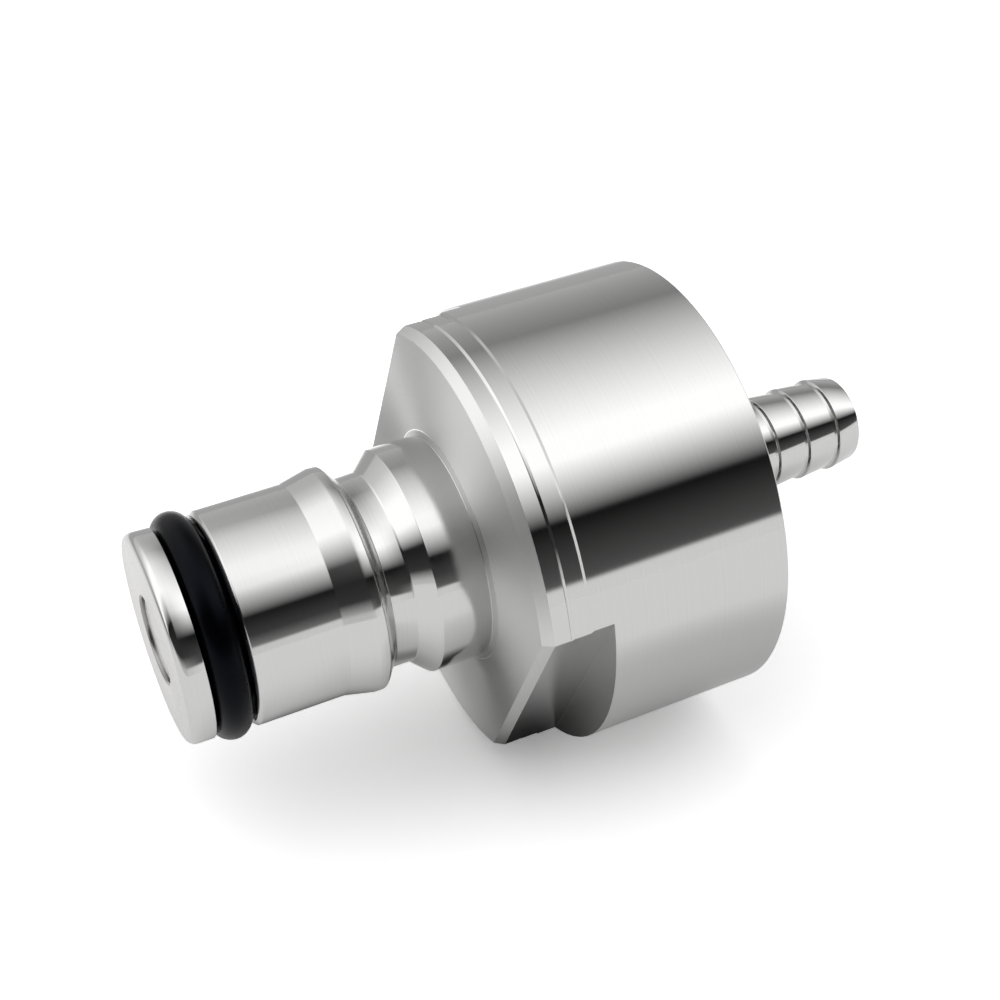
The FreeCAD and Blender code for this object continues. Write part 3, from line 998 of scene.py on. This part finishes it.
@dataclass
class Valve:
    """The sprung valve in the post: poppet, its seal and its spring. Sizes in mm."""

    poppet_edge: float = 0.06
    seal_hole_radius: float = 2.1
    seal_front_radius: float = 3.55
    seal_land: float = 0.75
    seal_edge: float = 0.05
    wire: float = 0.7
    spring_turns: float = 4.0
    closed_pitch: float = 1.02
    wire_sides: int = 16
    coil_steps: int = 48

    def poppet(self, material: bpy.types.Material) -> bpy.types.Object:
        """Breaks the edges of the slotted and fluted poppet, from a merged copy of its node.

        Args:
            material: Satin steel.

        Returns:
            The finished piece.
        """
        mesh = bmesh.new()
        mesh.from_mesh(bpy.data.objects["poppet"].data)
        bmesh.ops.transform(mesh, matrix=Matrix.Scale(1 / MM, 4), verts=list(mesh.verts))
        bmesh.ops.remove_doubles(mesh, verts=list(mesh.verts), dist=SAME_PLACE)
        bmesh.ops.dissolve_limit(
            mesh, angle_limit=FLAT_ANGLE, verts=list(mesh.verts), edges=list(mesh.edges)
        )
        edges = [e for e in mesh.edges if e.is_manifold and e.calc_face_angle(0.0) > SHARP_ANGLE]
        bmesh.ops.bevel(
            mesh,
            geom=edges,
            offset=self.poppet_edge,
            offset_type="OFFSET",
            segments=EDGE_SEGMENTS,
            profile=ROUND_PROFILE,
            affect="EDGES",
            clamp_overlap=True,
            material=-1,
        )
        return publish(mesh, "valve_poppet", "valve", [material], ["poppet"])

    def seal(self, material: bpy.types.Material) -> bpy.types.Object:
        """Turns the rubber seal with the cone that closes on its seat.

        Args:
            material: The rubber.

        Returns:
            The finished piece.
        """
        low, high = (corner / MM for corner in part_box("poppet_seal"))
        mesh = turned(
            [
                Corner(low.x, self.seal_hole_radius, self.seal_edge),
                Corner(low.x, self.seal_front_radius, self.seal_edge),
                Corner(high.x - self.seal_land, high.y, self.seal_edge),
                Corner(high.x, high.y, self.seal_edge),
                Corner(high.x, self.seal_hole_radius, self.seal_edge),
            ]
        )
        return publish(mesh, "valve_seal", "valve", [material], ["poppet_seal"])

    def spring(self, material: bpy.types.Material) -> bpy.types.Object:
        """Winds the spring, closed at both ends, and gives it a mesh of its own.

        Args:
            material: The wire's material.

        Returns:
            The finished spring.
        """
        low, high = (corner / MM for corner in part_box("poppet_spring"))
        length = high.x - low.x
        mesh = bmesh.new()
        start = Vector((low.x + self.wire / 2, high.y - self.wire / 2, 0.0))
        bmesh.ops.create_circle(
            mesh,
            cap_ends=True,
            radius=self.wire / 2,
            segments=self.wire_sides,
            matrix=Matrix.Translation(start),
        )
        closing = self.wire * self.closed_pitch
        working = length - self.wire - 2 * closing
        closed_end = [(0.5, 0.0), (0.5, closing)]
        stretches = [*closed_end, (self.spring_turns, working), *closed_end[::-1]]
        coil(mesh, [*mesh.faces, *mesh.edges, *mesh.verts], stretches, self.coil_steps)
        piece = publish(mesh, "valve_spring", "cap", [material], ["poppet_spring"])
        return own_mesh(piece)


@dataclass(frozen=True)
class LightCard:
    """A card or soft light of the studio, from one edge to the other.

    Attributes:
        start: Degrees up from the horizon in front that it starts at: 90 is overhead and 180 the
            horizon behind. The light fades evenly between one card and the next.
        end: Degrees that it ends at.
        near: Its grey at the start, as sRGB hex.
        far: Its grey at the end.
    """

    start: float
    end: float
    near: str
    far: str


@dataclass(frozen=True)
class LightWall:
    """The cards that stand to one side of the object.

    Attributes:
        side: Share of the direction that runs along +X, where the cards stand.
        cards: The pale front, the black flag, the soft light overhead and the wall behind.
    """

    side: float
    cards: tuple[LightCard, ...]


@dataclass(frozen=True)
class PaintedFloorShading:
    """A painted shade or painted light on the floor's colour, at a place that only the object's
    reflections find.

    Attributes:
        middle: Its middle along X and Y, in mm.
        reach: Its half widths along X and Y, in mm.
        level: How bright its middle is beside the rest of the floor.
    """

    middle: tuple[float, float]
    reach: tuple[float, float]
    level: float


@dataclass(frozen=True)
class Studio:
    """The pale floor, the studio light and the camera.

    Attributes:
        floor_height: Height of the floor, in mm.
        floor_size: Length of its sides, in metres, so that it ends far out of sight.
        far_floor: Stations along Y between which the floor is painted darker to the metal, as
            painted shade far behind, in mm.
        floor_levels: How bright the metal finds the floor before and beyond those.
        shade_core: Share of a shade's reach over which it is even.
        floor_lift: Glow of the floor that the metal finds, beside its level.
        seen_level: How bright the camera finds the floor.
        seen_lift: Glow of the floor that the camera finds.
        camera_place: The camera's place, in mm.
        camera_azimuth: Degrees that the camera stands round to the post's side of straight ahead.
        camera_elevation: Degrees that it looks down.
        lens: Focal length, in mm.
        sensor: Width of the sensor, in mm.
        light_strength: Strength of the brightest band.
        shades: Painted shade and painted light on the floor's colour: painted shade under the post,
        by the near wrench flat, under the barrel and to the left, and painted light behind the
        post.
        walls: The studio's cards to the left and to the right, blended between.
    """

    floor_height: float = -16.5
    floor_size: float = 60.0
    far_floor: tuple[float, float] = (50.0, 90.0)
    floor_levels: tuple[float, float] = (0.84, 0.44)
    shade_core: float = 0.3
    floor_lift: float = 0.2
    seen_level: float = 1.43
    seen_lift: float = 0.19
    camera_place: tuple[float, float, float] = (-53.760, -82.537, 85.713)
    camera_azimuth: float = -25.54
    camera_elevation: float = 42.216
    lens: float = 61.163
    sensor: float = 36.0
    light_strength: float = 1.46
    # Painted shade under the post, by the near wrench flat, under the barrel and far to the left;
    # painted light behind the post
    shades: tuple[PaintedFloorShading, ...] = (
        PaintedFloorShading((-30.0, 8.0), (14.0, 17.0), 0.2),
        PaintedFloorShading((-16.0, -6.0), (8.0, 8.0), 0.06),
        PaintedFloorShading((0.0, -18.0), (30.0, 34.0), 0.74),
        PaintedFloorShading((-230.0, 35.0), (185.0, 60.0), 0.08),
        PaintedFloorShading((-26.0, 44.0), (22.0, 24.0), 2.4),
    )
    walls: tuple[LightWall, ...] = (
        LightWall(
            -0.2,
            (
                LightCard(0, 5, "#B0B0B0", "#B0B0B0"),
                LightCard(20, 58, "#303030", "#181818"),
                LightCard(92, 126, "#FFFFFF", "#FFFFFF"),
                LightCard(160, 180, "#C0C0C0", "#B0B0B0"),
            ),
        ),
        LightWall(
            0.33,
            (
                LightCard(0, 7, "#C8C8C8", "#C8C8C8"),
                LightCard(9, 39, "#484848", "#0C0C0C"),
                LightCard(68, 80, "#FFFFFF", "#FFFFFF"),
                LightCard(145, 180, "#787878", "#A0A0A0"),
            ),
        ),
    )

    def build_camera(self) -> None:
        """Sets up the camera at the photograph's place and angle."""
        camera = bpy.data.objects.new("camera", bpy.data.cameras.new("camera"))
        bpy.context.scene.collection.objects.link(camera)
        camera.location = Vector(self.camera_place) * MM
        camera.rotation_euler = (
            math.radians(90 - self.camera_elevation),
            0.0,
            math.radians(self.camera_azimuth),
        )
        camera.data.lens = self.lens
        camera.data.sensor_width = self.sensor
        camera.data.clip_start = MM
        bpy.context.scene.camera = camera

    def build_floor(self) -> None:
        """Lays the pale floor: matt white, with the object's shadow."""
        mesh = bmesh.new()
        bmesh.ops.create_grid(mesh, x_segments=1, y_segments=1, size=self.floor_size / 2)
        bmesh.ops.translate(mesh, vec=(0, 0, self.floor_height * MM), verts=list(mesh.verts))
        data = bpy.data.meshes.new("floor")
        mesh.to_mesh(data)
        mesh.free()
        floor = bpy.data.objects.new("floor", data)
        bpy.context.scene.collection.objects.link(floor)
        data.materials.append(self.floor_material())

    def floor_painted_shading(self, tree: bpy.types.NodeTree) -> bpy.types.NodeSocket:
        """Adds the nodes that say how bright the metal finds each place of the floor: its painted
        shade and painted light.

        Args:
            tree: The floor's node tree.

        Returns:
            The output with the brightness.
        """
        place = add_node(tree, "ShaderNodeTexCoord").outputs["Object"]
        parts = add_node(tree, "ShaderNodeSeparateXYZ", links={0: place})
        near, far = (station * MM for station in self.far_floor)
        card = add_node(
            tree,
            "ShaderNodeMapRange",
            {
                "From Min": near,
                "From Max": far,
                "To Min": self.floor_levels[0],
                "To Max": self.floor_levels[1],
            },
            {"Value": parts.outputs["Y"]},
            interpolation_type="SMOOTHSTEP",
        )
        # Each place multiplies the floor's colour: painted shade below a level of 1, painted light
        # above it
        for shade in self.shades:
            scale = [1 / (reach * MM) for reach in shade.reach]
            shift = [-middle / reach for middle, reach in zip(shade.middle, shade.reach)]
            spot = add_node(
                tree,
                "ShaderNodeMapping",
                {"Location": (*shift, 0), "Scale": (*scale, 0)},
                {"Vector": place},
            )
            away = add_node(
                tree, "ShaderNodeVectorMath", links={0: spot.outputs[0]}, operation="LENGTH"
            )
            left = add_node(
                tree,
                "ShaderNodeMapRange",
                {"From Min": self.shade_core, "To Min": shade.level},
                {"Value": away.outputs["Value"]},
                interpolation_type="SMOOTHSTEP",
            )
            card = add_node(
                tree,
                "ShaderNodeMath",
                links={0: card.outputs[0], 1: left.outputs[0]},
                operation="MULTIPLY",
            )
        return card.outputs[0]

    def floor_material(self) -> bpy.types.Material:
        """Makes the floor's material: even to the camera, and with painted shade and painted light
        to the metal.

        Returns:
            The new material.
        """
        material = new_material("matt_white_floor")
        tree = material.node_tree
        card = self.floor_painted_shading(tree)
        rays = add_node(tree, "ShaderNodeLightPath")
        colour = add_node(
            tree,
            "ShaderNodeMix",
            {7: (self.seen_level, self.seen_level, self.seen_level, 1.0)},
            {0: rays.outputs["Is Camera Ray"], 6: card},
            data_type="RGBA",
        )
        paint = add_node(tree, "ShaderNodeBsdfDiffuse", links={"Color": colour.outputs[2]})
        glow = add_node(tree, "ShaderNodeEmission", {"Color": linear("#FFFFFF")})
        lift = add_node(
            tree, "ShaderNodeMath", {1: self.floor_lift}, {0: card}, operation="MULTIPLY"
        )
        strength = add_node(
            tree,
            "ShaderNodeMix",
            {3: self.seen_lift},
            {0: rays.outputs["Is Camera Ray"], 2: lift.outputs[0]},
        )
        tree.links.new(strength.outputs[0], glow.inputs["Strength"])
        both = add_node(
            tree, "ShaderNodeAddShader", links={0: paint.outputs[0], 1: glow.outputs[0]}
        )
        add_node(tree, "ShaderNodeOutputMaterial", links={"Surface": both.outputs[0]})
        return material

    def light_colour(self, tree: bpy.types.NodeTree) -> bpy.types.NodeSocket:
        """Adds the nodes that paint the walls, each blended into the next along X.

        Args:
            tree: The world's node tree.

        Returns:
            The output with the colour.
        """
        direction = add_node(tree, "ShaderNodeTexCoord").outputs["Generated"]
        parts = add_node(tree, "ShaderNodeSeparateXYZ", links={0: direction})
        front = add_node(
            tree, "ShaderNodeMath", {1: -1.0}, {0: parts.outputs["Y"]}, operation="MULTIPLY"
        )
        height = add_node(
            tree,
            "ShaderNodeMath",
            links={0: parts.outputs["Z"], 1: front.outputs[0]},
            operation="ARCTAN2",
        )
        share = add_node(
            tree, "ShaderNodeMath", {1: math.pi}, {0: height.outputs[0]}, operation="DIVIDE"
        )
        colour = None
        for wall, before in zip(self.walls, (None, *self.walls)):
            ramp = add_node(tree, "ShaderNodeValToRGB", links={0: share.outputs[0]})
            stops = ramp.color_ramp.elements
            edges = [
                edge
                for card in wall.cards
                for edge in ((card.start, card.near), (card.end, card.far))
            ]
            while len(stops) < len(edges):
                stops.new(0.5)
            for stop, (degrees, level) in zip(stops, edges):
                stop.position = math.radians(degrees) / math.pi
                stop.color = linear(level)
            if before is None:
                colour = ramp.outputs[0]
                continue
            beyond = add_node(
                tree,
                "ShaderNodeMapRange",
                {"From Min": before.side, "From Max": wall.side},
                {"Value": parts.outputs["X"]},
            )
            colour = add_node(
                tree,
                "ShaderNodeMix",
                links={0: beyond.outputs[0], 6: colour, 7: ramp.outputs[0]},
                data_type="RGBA",
            ).outputs[2]
        return colour

    def build_light(self) -> None:
        """Paints the studio on the world: a long soft light overhead and a black flag in front."""
        world = bpy.data.worlds.new("studio")
        bpy.context.scene.world = world
        world.use_nodes = True
        tree = world.node_tree
        tree.nodes.clear()
        light = add_node(
            tree,
            "ShaderNodeBackground",
            {"Strength": self.light_strength},
            {"Color": self.light_colour(tree)},
        )
        white = add_node(tree, "ShaderNodeBackground", {"Color": linear("#FFFFFF")})
        rays = add_node(tree, "ShaderNodeLightPath")
        mix = add_node(
            tree,
            "ShaderNodeMixShader",
            links={0: rays.outputs["Is Camera Ray"], 1: light.outputs[0], 2: white.outputs[0]},
        )
        add_node(tree, "ShaderNodeOutputWorld", links={"Surface": mix.outputs[0]})

    def build(self) -> None:
        """Builds the whole studio."""
        self.build_camera()
        self.build_floor()
        self.build_light()
        bpy.context.scene.view_settings.view_transform = "Standard"


def main() -> None:
    """Builds the cap's pieces in order, then the studio."""
    logging.basicConfig(level=logging.INFO, format="%(name)s: %(message)s")
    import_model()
    # In the order of the regions' material numbers
    finishes = (POLISHED, SATIN, BORED, FACED, BROKEN, MILLED, END_MILLED)
    steels = [finish.material() for finish in finishes]
    polished, satin, bored = (
        steels[region.value] for region in (Region.POLISHED, Region.SATIN, Region.BORED)
    )
    drawn, nitrile, silicone = (finish.material() for finish in (DRAWN, NITRILE, SILICONE))
    CapBody().build(steels)
    BottleThread().build(bored)
    insert_low, insert_high = (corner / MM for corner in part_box("barb_insert"))
    BarbInsert(front=insert_low.x, tip=insert_high.x).build(polished)
    RubberRing("post_seal_ring", "post_o_ring", "black_rubber").build(nitrile)
    RubberRing("insert_seal_ring", "insert_o_ring", "inner_rubber").build(nitrile)
    BottleGasket().build(silicone)
    valve = Valve()
    valve.poppet(satin)
    valve.seal(nitrile)
    valve.spring(drawn)
    Studio().build()


if __name__ == "__main__":
    main()
